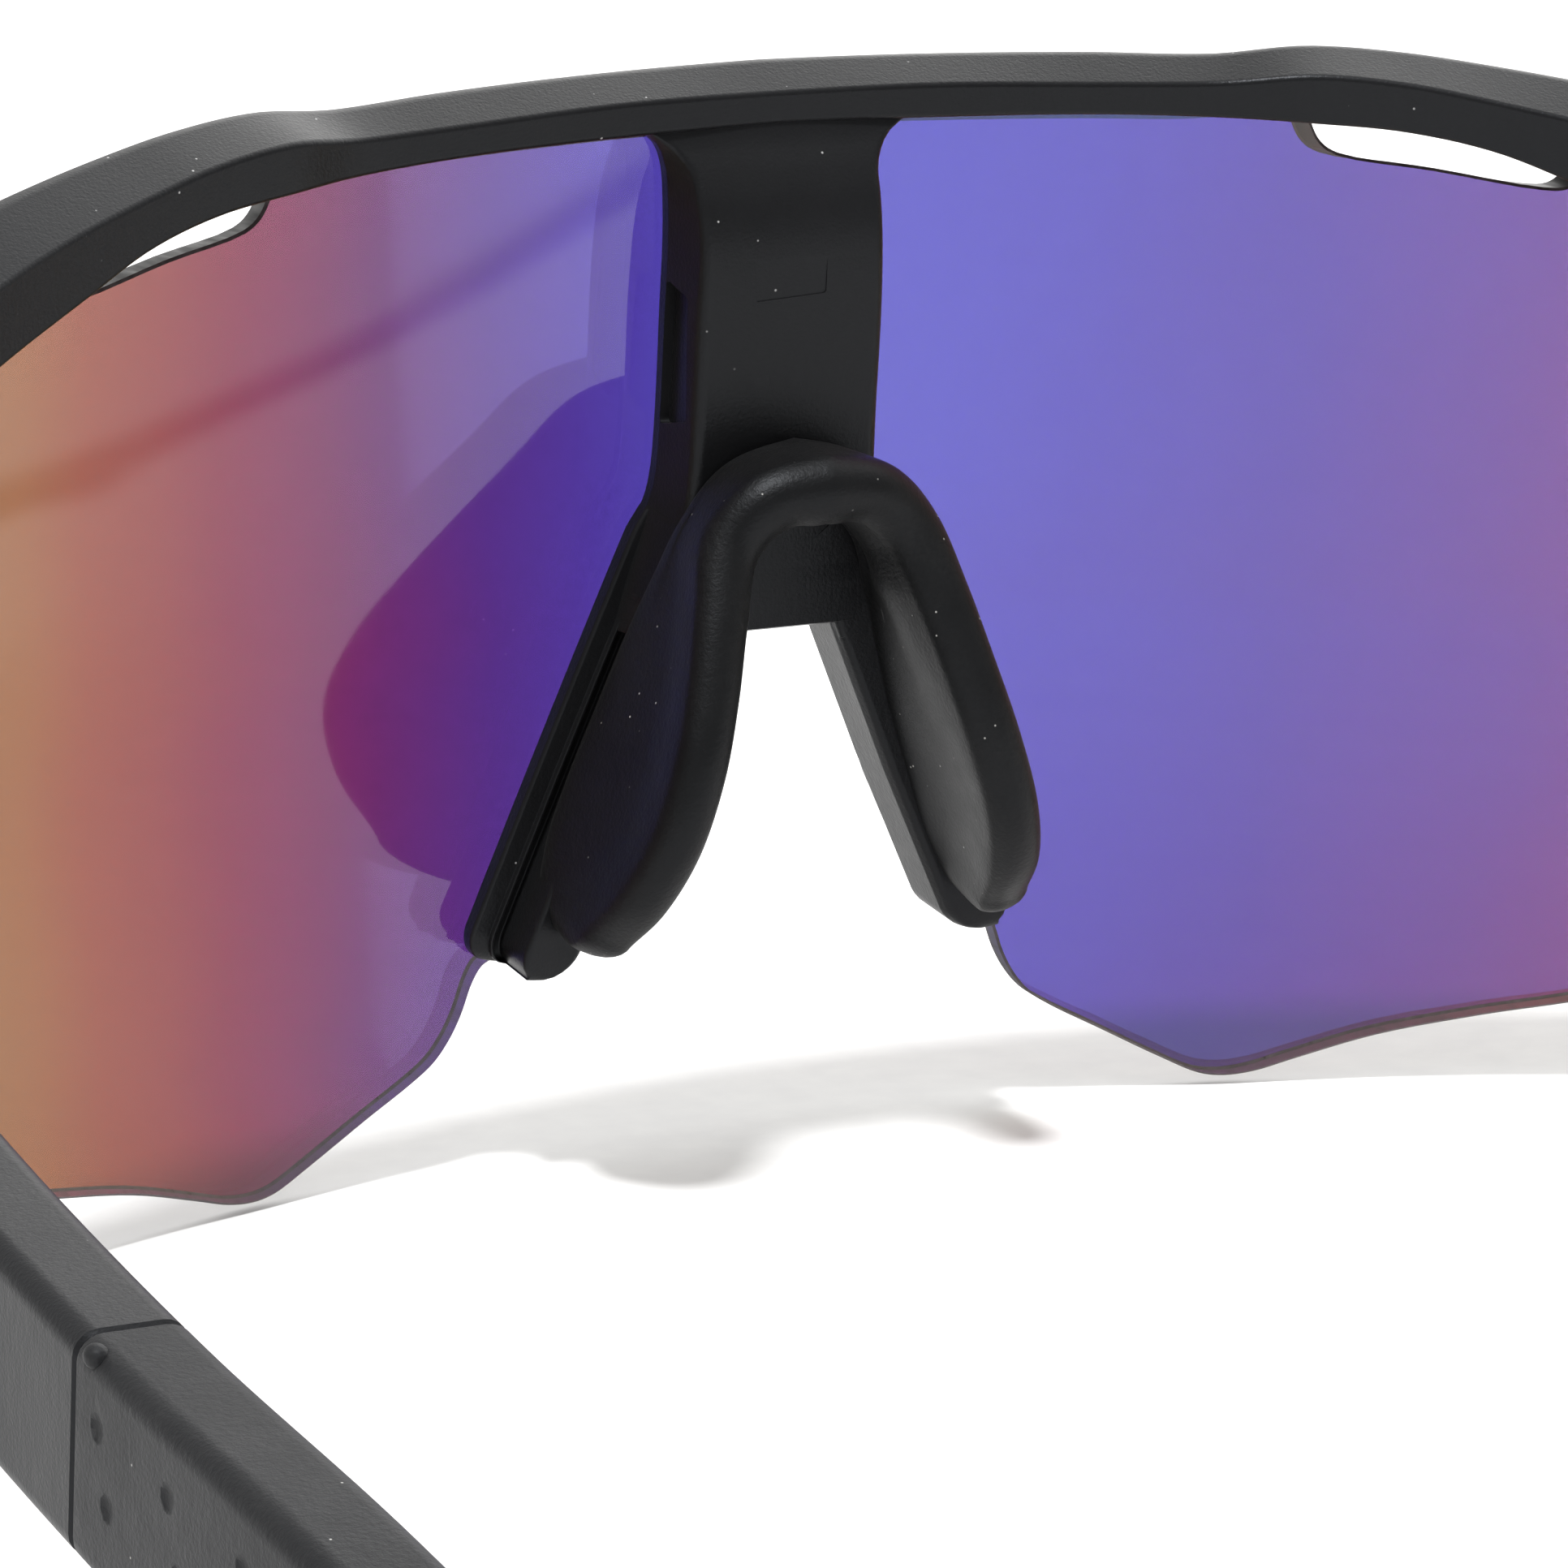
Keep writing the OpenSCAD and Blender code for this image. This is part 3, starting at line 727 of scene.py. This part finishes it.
class Nodes:
    """Short hand for a material's node tree."""

    def __init__(self, name):
        self.material = bpy.data.materials.new(name)
        self.material.use_nodes = True
        self.tree = self.material.node_tree
        self.tree.nodes.clear()
        self.output = self.tree.nodes.new("ShaderNodeOutputMaterial")
        self.object = self.add("ShaderNodeTexCoord").outputs["Object"]

    def add(self, kind, inputs=None, **settings):
        node = self.tree.nodes.new(kind)
        for key, value in settings.items():
            setattr(node, key, value)
        for key, value in (inputs or {}).items():
            self.put(node.inputs[key], value)
        return node

    def put(self, socket, value):
        if isinstance(value, bpy.types.NodeSocket):
            self.tree.links.new(value, socket)
        else:
            socket.default_value = value

    def noise(self, scale, detail=3.0, rough=0.55, vector=None):
        node = self.add("ShaderNodeTexNoise", {
            "Vector": vector or self.object, "Scale": scale, "Detail": detail,
            "Roughness": rough,
        })
        return node.outputs["Fac"]

    def stretched(self, scale, turn=(0, 0, 0)):
        node = self.add("ShaderNodeMapping", {
            "Vector": self.object, "Rotation": turn, "Scale": scale,
        })
        return node.outputs["Vector"]

    def cells(self, scale):
        return self.add("ShaderNodeTexVoronoi", {"Vector": self.object, "Scale": scale})

    def ramp(self, value, stops):
        node = self.add("ShaderNodeValToRGB", {"Fac": value})
        elements = node.color_ramp.elements
        while len(elements) < len(stops):
            elements.new(0.5)
        for element, (position, colour) in zip(elements, stops):
            element.position = position
            element.color = (*colour, 1)
        return node.outputs["Color"]

    def span(self, value, low, high, to_low=0.0, to_high=1.0):
        node = self.add("ShaderNodeMapRange", {
            "Value": value, "From Min": low, "From Max": high, "To Min": to_low, "To Max": to_high,
        })
        return node.outputs["Result"]

    def maths(self, operation, a, b=0.0):
        node = self.add("ShaderNodeMath", operation=operation)
        self.put(node.inputs[0], a)
        self.put(node.inputs[1], b)
        return node.outputs[0]

    def blend(self, share, a, b):
        node = self.add("ShaderNodeMix", data_type="RGBA")
        self.put(node.inputs["Factor"], share)
        self.put(node.inputs["A"], a)
        self.put(node.inputs["B"], b)
        return node.outputs["Result"]

    def bump(self, height, strength, distance, normal=None):
        inputs = {"Height": height, "Strength": strength, "Distance": distance}
        if normal:
            inputs["Normal"] = normal
        return self.add("ShaderNodeBump", inputs).outputs["Normal"]

    def mixed(self, share, a, b):
        inputs = {0: share, 1: a.outputs[0], 2: b.outputs[0]}
        return self.add("ShaderNodeMixShader", inputs)

    def finish(self, shader):
        self.tree.links.new(shader.outputs[0], self.output.inputs["Surface"])
        return self.material


def grey(v, tint=(1, 1, 1)):
    return (v * tint[0], v * tint[1], v * tint[2], 1)


COOL_PLASTIC, COOL_RUBBER = (0.97, 0.98, 1.07), (0.97, 0.98, 1.06)
COOL_GLOSS = (0.90, 0.94, 1.0, 1)


def specks(n, scale, size, share, seed_scale):
    """Sparse bright dust: small round spots in a share of the cells."""
    cells = n.cells(scale)
    spot = n.span(cells.outputs["Distance"], size, size * 0.5)
    chosen = n.add("ShaderNodeSeparateColor", {"Color": cells.outputs["Color"]}).outputs["Red"]
    picked = n.maths("GREATER_THAN", chosen, 1 - share)
    patch = n.span(n.noise(seed_scale, 1.0), 0.42, 0.6)
    return n.maths("MULTIPLY", n.maths("MULTIPLY", spot, picked), patch)


def moulded_plastic(name, base=0.008, rough=0.36):
    """Matte black moulded nylon: fine spark-eroded grain, flow variation, scuffs and dust."""
    n = Nodes(name)
    flow = n.noise(55, 4)
    dull, bright = grey(base * 0.85, COOL_PLASTIC), grey(base * 1.25, COOL_PLASTIC)
    colour = n.blend(n.span(flow, 0.3, 0.7), dull, bright)
    dust = specks(n, 2100, 0.15, 0.035, 70)
    colour = n.blend(n.maths("MULTIPLY", dust, 0.8), colour, grey(0.5))
    scuffs = n.noise(1.0, 2, vector=n.stretched((4200, 4200, 700), (0, 0.35, 0)))
    grain = n.noise(6500, 2, 0.6)
    wear = n.maths("ADD", n.maths("MULTIPLY", scuffs, 0.4), flow)
    roughness = n.span(wear, 0.5, 0.95, rough - 0.05, rough + 0.08)
    normal = n.bump(grain, 0.30, 0.00006)
    normal = n.bump(scuffs, 0.12, 0.00006, normal)
    shader = n.add("ShaderNodeBsdfPrincipled", {
        "Base Color": colour, "Roughness": roughness, "Normal": normal,
        "Specular IOR Level": 0.17, "Specular Tint": COOL_GLOSS,
    })
    return n.finish(shader)


def soft_rubber(name, base=0.004, dust_share=0.09, rough=0.45):
    """Matte elastomer: skin grain, pale bloom where it is handled, lint and fine scratches."""
    n = Nodes(name)
    cloud = n.noise(130, 5, 0.6)
    fine = n.noise(4600, 3, 0.65)
    bloom = n.maths("MULTIPLY", n.span(cloud, 0.45, 0.75), n.span(fine, 0.35, 0.75))
    colour = n.blend(bloom, grey(base, COOL_RUBBER), grey(base * 2.6, (1, 1, 0.99)))
    dust = specks(n, 2300, 0.14, dust_share, 150)
    colour = n.blend(dust, colour, grey(0.5, (1, 0.99, 0.95)))
    streak = n.noise(1.0, 1, vector=n.stretched((2600, 2600, 110), (0.5, 0.3, 0.2)))
    scratch = n.maths("MULTIPLY", n.span(streak, 0.79, 0.81), n.span(n.noise(170, 1), 0.5, 0.56))
    colour = n.blend(n.maths("MULTIPLY", scratch, 0.35), colour, grey(0.16))
    roughness = n.span(cloud, 0.3, 0.75, rough - 0.07, rough + 0.12)
    normal = n.bump(fine, 0.42, 0.00008)
    normal = n.bump(n.noise(420, 2), 0.12, 0.0004, normal)
    shader = n.add("ShaderNodeBsdfPrincipled", {
        "Base Color": colour, "Roughness": roughness, "Normal": normal,
        "Specular IOR Level": 0.18, "Specular Tint": COOL_GLOSS,
        "Sheen Weight": 0.02, "Sheen Roughness": 0.45,
    })
    return n.finish(shader)


# Colour of the light that the lens lets through, by how far the interference film's colour has
# shifted: blue at the middle and square on, to red and amber at the ends and at a slant
FILM = (
    (0.10, (0.052, 0.045, 0.323)),
    (0.20, (0.054, 0.036, 0.282)),
    (0.26, (0.056, 0.027, 0.230)),
    (0.34, (0.065, 0.020, 0.165)),
    (0.43, (0.100, 0.018, 0.109)),
    (0.48, (0.129, 0.018, 0.080)),
    (0.525, (0.155, 0.019, 0.067)),
    (0.57, (0.172, 0.021, 0.050)),
    (0.63, (0.200, 0.036, 0.038)),
    (0.70, (0.219, 0.050, 0.030)),
    (0.76, (0.228, 0.078, 0.027)),
    (1.00, (0.206, 0.130, 0.022)),
)
# Colour of the film's mirror seen from inside: blue square on, paler at a slant
MIRROR = (
    (0.03, (0.086, 0.214, 0.943)),
    (0.23, (0.257, 0.221, 0.464)),
    (0.42, (0.320, 0.320, 0.460)),
)
MIRROR_SHARE, MIRROR_ROUGH = 0.14, 0.03
# Millimetres from the middle at which the film's colour has shifted fully, and how many of them
# the steepest slant is worth
FILM_REACH, FILM_TILT = 95.0, 96.0
SHADE_TINT = (0.88, 0.83, 0.84, 1)
# Where the lens's cut edge is painted dark as painted shade, or left pale, in metres in the row frame
SLOT_EDGE_Z, NOSE_EDGE_Z, NOSE_EDGE_X = 0.0400, 0.0280, 0.0124
EDGE_FADE = 0.0005


def film_tint(n, slant):
    """The film's colour at a slant, from 0 for square on to 1 for edge on."""
    x = n.add("ShaderNodeSeparateXYZ", {"Vector": n.object}).outputs["X"]
    far = n.maths("MULTIPLY", n.maths("ABSOLUTE", x), 1 / MM)
    drift = n.span(n.noise(38, 2), 0.3, 0.7, -1.5, 1.5)
    shift = n.maths("ADD", n.maths("ADD", far, drift), n.maths("MULTIPLY", slant, FILM_TILT))
    return n.ramp(n.maths("DIVIDE", shift, FILM_REACH), FILM)


def lens_film():
    """The lens's outer face: a tinted window under a coloured interference mirror."""
    n = Nodes("lens_film")
    slant = n.add("ShaderNodeLayerWeight", {"Blend": 0.5}).outputs["Facing"]
    shade = n.add("ShaderNodeLightPath").outputs["Is Shadow Ray"]
    tint = n.blend(shade, film_tint(n, slant), SHADE_TINT)
    through = n.add("ShaderNodeBsdfTransparent", {"Color": tint})
    mirror = n.add("ShaderNodeBsdfGlossy", {
        "Color": n.ramp(slant, MIRROR), "Roughness": MIRROR_ROUGH,
    })
    return n.finish(n.mixed(MIRROR_SHARE, through, mirror))


def lens_inner():
    """The lens's inner face: clear polycarbonate with a faint smear and dust."""
    n = Nodes("lens_inner")
    through = n.add("ShaderNodeBsdfTransparent", {"Color": (1, 1, 1, 1)})
    smear = n.span(n.noise(160, 4, 0.6), 0.35, 0.8, 0.02, 0.05)
    mirror = n.add("ShaderNodeBsdfGlossy", {"Color": (1, 1, 1, 1), "Roughness": smear})
    strength = n.add("ShaderNodeFresnel", {"IOR": 1.56}).outputs[0]
    gloss = n.mixed(strength, through, mirror)
    dust = specks(n, 260, 0.03, 0.10, 60)
    grit = n.add("ShaderNodeBsdfDiffuse", {"Color": (0.7, 0.66, 0.6, 1)})
    return n.finish(n.mixed(dust, gloss, grit))


def lens_edge():
    """The lens's milled edge: frosted, with cutter marks across it. It is pale at the nose, painted
    dark in the air slots as painted shade, and takes on the film's colour where it is seen through
    the lens."""
    n = Nodes("lens_edge")
    axes = n.add("ShaderNodeSeparateXYZ", {"Vector": n.object}).outputs
    marks = n.noise(1.0, 2, vector=n.stretched((2600, 250, 2600)))
    # painted shade: above this height the cut edge in the air slots is painted near black and made
    # opaque
    high = n.span(axes["Z"], SLOT_EDGE_Z - EDGE_FADE, SLOT_EDGE_Z + EDGE_FADE)
    aside = n.maths("ABSOLUTE", axes["X"])
    inner = n.span(aside, NOSE_EDGE_X + 0.8 * EDGE_FADE, NOSE_EDGE_X - 0.8 * EDGE_FADE)
    below = n.span(axes["Z"], NOSE_EDGE_Z + EDGE_FADE, NOSE_EDGE_Z - EDGE_FADE)
    near = n.maths("MULTIPLY", inner, below)
    pale = n.blend(near, grey(0.16, (1.0, 0.93, 1.03)), grey(0.2, (1, 1, 1.02)))
    tone = n.blend(high, pale, grey(0.014))
    colour = n.blend(n.span(marks, 0.32, 0.68, 0.0, 0.6), tone, grey(0.02))
    frost = n.add("ShaderNodeBsdfPrincipled", {
        "Base Color": colour, "Roughness": n.span(marks, 0.3, 0.7, 0.35, 0.6),
        "Normal": n.bump(marks, 0.4, 0.00005), "Specular IOR Level": 0.5,
    })
    clear = n.add("ShaderNodeBsdfTransparent", {"Color": film_tint(n, 0.18)})
    share = n.maths("MAXIMUM", n.maths("MAXIMUM", high, near), n.span(marks, 0.3, 0.7, 0.45, 0.75))
    return n.finish(n.mixed(share, clear, frost))


def lens_bevel():
    """The fine broken corners along the lens's edge, painted dark: painted shade for how the clear
    corners look dark against the light.
    """
    n = Nodes("lens_bevel")
    marks = n.noise(1800, 3)
    # painted shade: an opaque dark colour stands in for the clear corners' dark look against the
    # light
    dull, bright = grey(0.02, (1.3, 0.9, 0.95)), grey(0.07, (1.2, 0.95, 1))
    shader = n.add("ShaderNodeBsdfPrincipled", {
        "Base Color": n.blend(n.span(marks, 0.3, 0.7), dull, bright),
        "Roughness": n.span(marks, 0.3, 0.7, 0.25, 0.5), "Normal": n.bump(marks, 0.3, 0.00004),
    })
    return n.finish(shader)


def turned_metal(name, light, dark, rough):
    """Small turned metal part: fine rings, tarnish and handling marks."""
    n = Nodes(name)
    rings = n.noise(1.0, 2, vector=n.stretched((700, 700, 9000)))
    patina = n.noise(900, 4)
    colour = n.blend(n.span(patina, 0.35, 0.7), (*light, 1), (*dark, 1))
    shader = n.add("ShaderNodeBsdfPrincipled", {
        "Base Color": colour, "Metallic": 1.0,
        "Roughness": n.span(rings, 0.3, 0.7, rough - 0.07, rough + 0.12),
        "Normal": n.bump(rings, 0.2, 0.00003),
    })
    return n.finish(shader)


def pale_floor():
    n = Nodes("pale_floor")
    paper = n.noise(420, 4)
    colour = n.blend(n.span(paper, 0.3, 0.7), grey(0.80), grey(0.84, (1, 1, 0.995)))
    shader = n.add("ShaderNodeBsdfDiffuse", {
        "Color": colour, "Normal": n.bump(paper, 0.08, 0.0001),
    })
    return n.finish(shader)


# ---------- put the object together ----------

plastic = moulded_plastic("front_plastic")
arm_plastic = moulded_plastic("arm_plastic", base=0.009, rough=0.40)
pad_rubber = soft_rubber("pad_rubber")
sock_rubber = soft_rubber("sock_rubber", base=0.011, dust_share=0.03, rough=0.5)


def place(obj, material, body, slot, *nodes):
    if material:
        obj.data.materials.clear()
        obj.data.materials.append(material)
    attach(obj, body)
    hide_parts(*nodes)
    return obj


place(front_frame(), plastic, "frame", "frame_plastic", "front_frame")


def shield_lens():
    outline = lens_half(True)
    verts, faces, parts = sheet_solid(outline, 0, lens_outer, 1.6, 0.12, relief=True)
    obj = build("shield_lens_clear", (verts, faces))
    for material in (lens_inner(), lens_film(), lens_edge(), lens_bevel()):
        obj.data.materials.append(material)
    obj.data.polygons.foreach_set("material_index", parts)
    obj.data.set_sharp_from_angle(angle=math.radians(25))
    return obj


place(shield_lens(), None, "frame", "lens_mirror", "shield_lens")
pad = place(nose_pad(), pad_rubber, "frame", "pad_rubber", "nose_pad")

for side in SIDES:
    body = "temple_" + side
    place(temple(side), arm_plastic, body, "temple_plastic", body)
    sock = place(ear_sock(side), sock_rubber, body, "sock_rubber", "ear_sock_" + side)

steel = turned_metal("screw_steel", (0.58, 0.58, 0.60), (0.40, 0.40, 0.42), 0.28)
brass = turned_metal("insert_brass", (0.72, 0.53, 0.25), (0.50, 0.34, 0.15), 0.32)
for side in SIDES:
    for node, metal in (("hinge_screw_", steel), ("hinge_insert_", brass)):
        data = frame["nodes"][node + side].data
        data.materials.clear()
        data.materials.append(metal)

# ---------- floor, light and camera ----------

low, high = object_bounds()
middle = (low + high) / 2

FLOOR_REACH = 4.0
floor_mesh = bpy.data.meshes.new("floor")
corners = ((-1, -1), (1, -1), (1, 1), (-1, 1))
floor_mesh.from_pydata(
    [(x * FLOOR_REACH, y * FLOOR_REACH, low.z) for x, y in corners], [], [(0, 1, 2, 3)]
)
floor = bpy.data.objects.new("floor", floor_mesh)
bpy.context.scene.collection.objects.link(floor)
floor_mesh.materials.append(pale_floor())

# The walls' light: its share on every side, what height and the way to the back add to that,
# its dimmest and brightest level and its colour
LEVEL_ALL, LEVEL_HEIGHT, LEVEL_BACK = 0.25, 1.1, -0.45
DIMMEST, BRIGHTEST = 0.12, 0.86
WALL_COLOUR = (1.0, 0.99, 0.975, 1)
# A soft window in them: the way to it, how near its edge and its middle are to that way, and
# the light it adds
WINDOW_TOWARD = (-0.74, -0.45, 0.50)
WINDOW_EDGE, WINDOW_MIDDLE, WINDOW_LIGHT = 0.68, 0.98, 2.3

world = bpy.data.worlds.new("studio")
bpy.context.scene.world = world
world.use_nodes = True


def studio_walls(tree):
    """White to the camera. As light it is bright overhead and beyond the glasses' front, and
    dim on the side they are seen from."""
    tree.nodes.clear()

    def node(kind, **settings):
        made = tree.nodes.new(kind)
        for key, value in settings.items():
            setattr(made, key, value)
        return made

    def wire(a, b):
        tree.links.new(a, b)

    way = node("ShaderNodeTexCoord").outputs["Generated"]
    axes = node("ShaderNodeSeparateXYZ")
    wire(way, axes.inputs[0])
    rise = node("ShaderNodeMath", operation="MULTIPLY_ADD")
    wire(axes.outputs["Z"], rise.inputs[0])
    rise.inputs[1].default_value = LEVEL_HEIGHT
    rise.inputs[2].default_value = LEVEL_ALL
    front = node("ShaderNodeMath", operation="MULTIPLY_ADD", use_clamp=True)
    wire(axes.outputs["Y"], front.inputs[0])
    front.inputs[1].default_value = LEVEL_BACK
    wire(rise.outputs[0], front.inputs[2])
    level = node("ShaderNodeMapRange")
    wire(front.outputs[0], level.inputs["Value"])
    level.inputs["To Min"].default_value = DIMMEST
    level.inputs["To Max"].default_value = BRIGHTEST
    toward = node("ShaderNodeVectorMath", operation="DOT_PRODUCT")
    wire(way, toward.inputs[0])
    toward.inputs[1].default_value = WINDOW_TOWARD
    window = node("ShaderNodeMapRange", interpolation_type="SMOOTHSTEP")
    wire(toward.outputs["Value"], window.inputs["Value"])
    window.inputs["From Min"].default_value = WINDOW_EDGE
    window.inputs["From Max"].default_value = WINDOW_MIDDLE
    window.inputs["To Max"].default_value = WINDOW_LIGHT
    both = node("ShaderNodeMath", operation="ADD")
    wire(level.outputs[0], both.inputs[0])
    wire(window.outputs[0], both.inputs[1])
    light = node("ShaderNodeBackground")
    light.inputs["Color"].default_value = WALL_COLOUR
    wire(both.outputs[0], light.inputs["Strength"])
    white = node("ShaderNodeBackground")
    white.inputs["Color"].default_value = (1, 1, 1, 1)
    pick = node("ShaderNodeMixShader")
    wire(node("ShaderNodeLightPath").outputs["Is Camera Ray"], pick.inputs[0])
    wire(light.outputs[0], pick.inputs[1])
    wire(white.outputs[0], pick.inputs[2])
    wire(pick.outputs[0], node("ShaderNodeOutputWorld").inputs["Surface"])


studio_walls(world.node_tree)


def direction(azimuth, elevation):
    a, e = math.radians(azimuth), math.radians(elevation)
    return Vector((math.sin(a) * math.cos(e), -math.cos(a) * math.cos(e), math.sin(e)))


def softbox(name, azimuth, elevation, strength, spread):
    """A distant soft lamp. Azimuth and elevation say where it stands."""
    light = bpy.data.lights.new(name, "SUN")
    light.energy = strength
    light.angle = math.radians(spread)
    lamp = bpy.data.objects.new(name, light)
    toward = direction(azimuth, elevation)
    lamp.rotation_mode = "QUATERNION"
    lamp.rotation_quaternion = toward.to_track_quat("Z", "Y")
    lamp.location = middle + toward
    bpy.context.scene.collection.objects.link(lamp)


softbox("overhead", azimuth=143.2, elevation=70.6, strength=3.35, spread=9)

# The camera: the point it looks at in wearing axes, how far off it stands in metres, on which
# side, and the sensor and focal length in millimetres that give its angle of view
CAMERA_AIM = (24.25, 52.50, 36.29)
CAMERA_DISTANCE = 0.290
CAMERA_AZIMUTH, CAMERA_ELEVATION = 153.722, 12.735
SENSOR_WIDTH, FOCAL_LENGTH = 36, 173.3

camera = bpy.data.objects.new("camera", bpy.data.cameras.new("camera"))
bpy.context.scene.collection.objects.link(camera)
bpy.context.scene.camera = camera
back = direction(CAMERA_AZIMUTH, CAMERA_ELEVATION)
camera.location = Vector(to_row(CAMERA_AIM)) + back * CAMERA_DISTANCE
camera.rotation_mode = "QUATERNION"
camera.rotation_quaternion = (-back).to_track_quat("-Z", "Y")
camera.data.sensor_width = SENSOR_WIDTH
camera.data.lens = FOCAL_LENGTH
camera.data.clip_start = 0.01
camera.data.clip_end = 20

bpy.context.scene.view_settings.view_transform = "Standard"
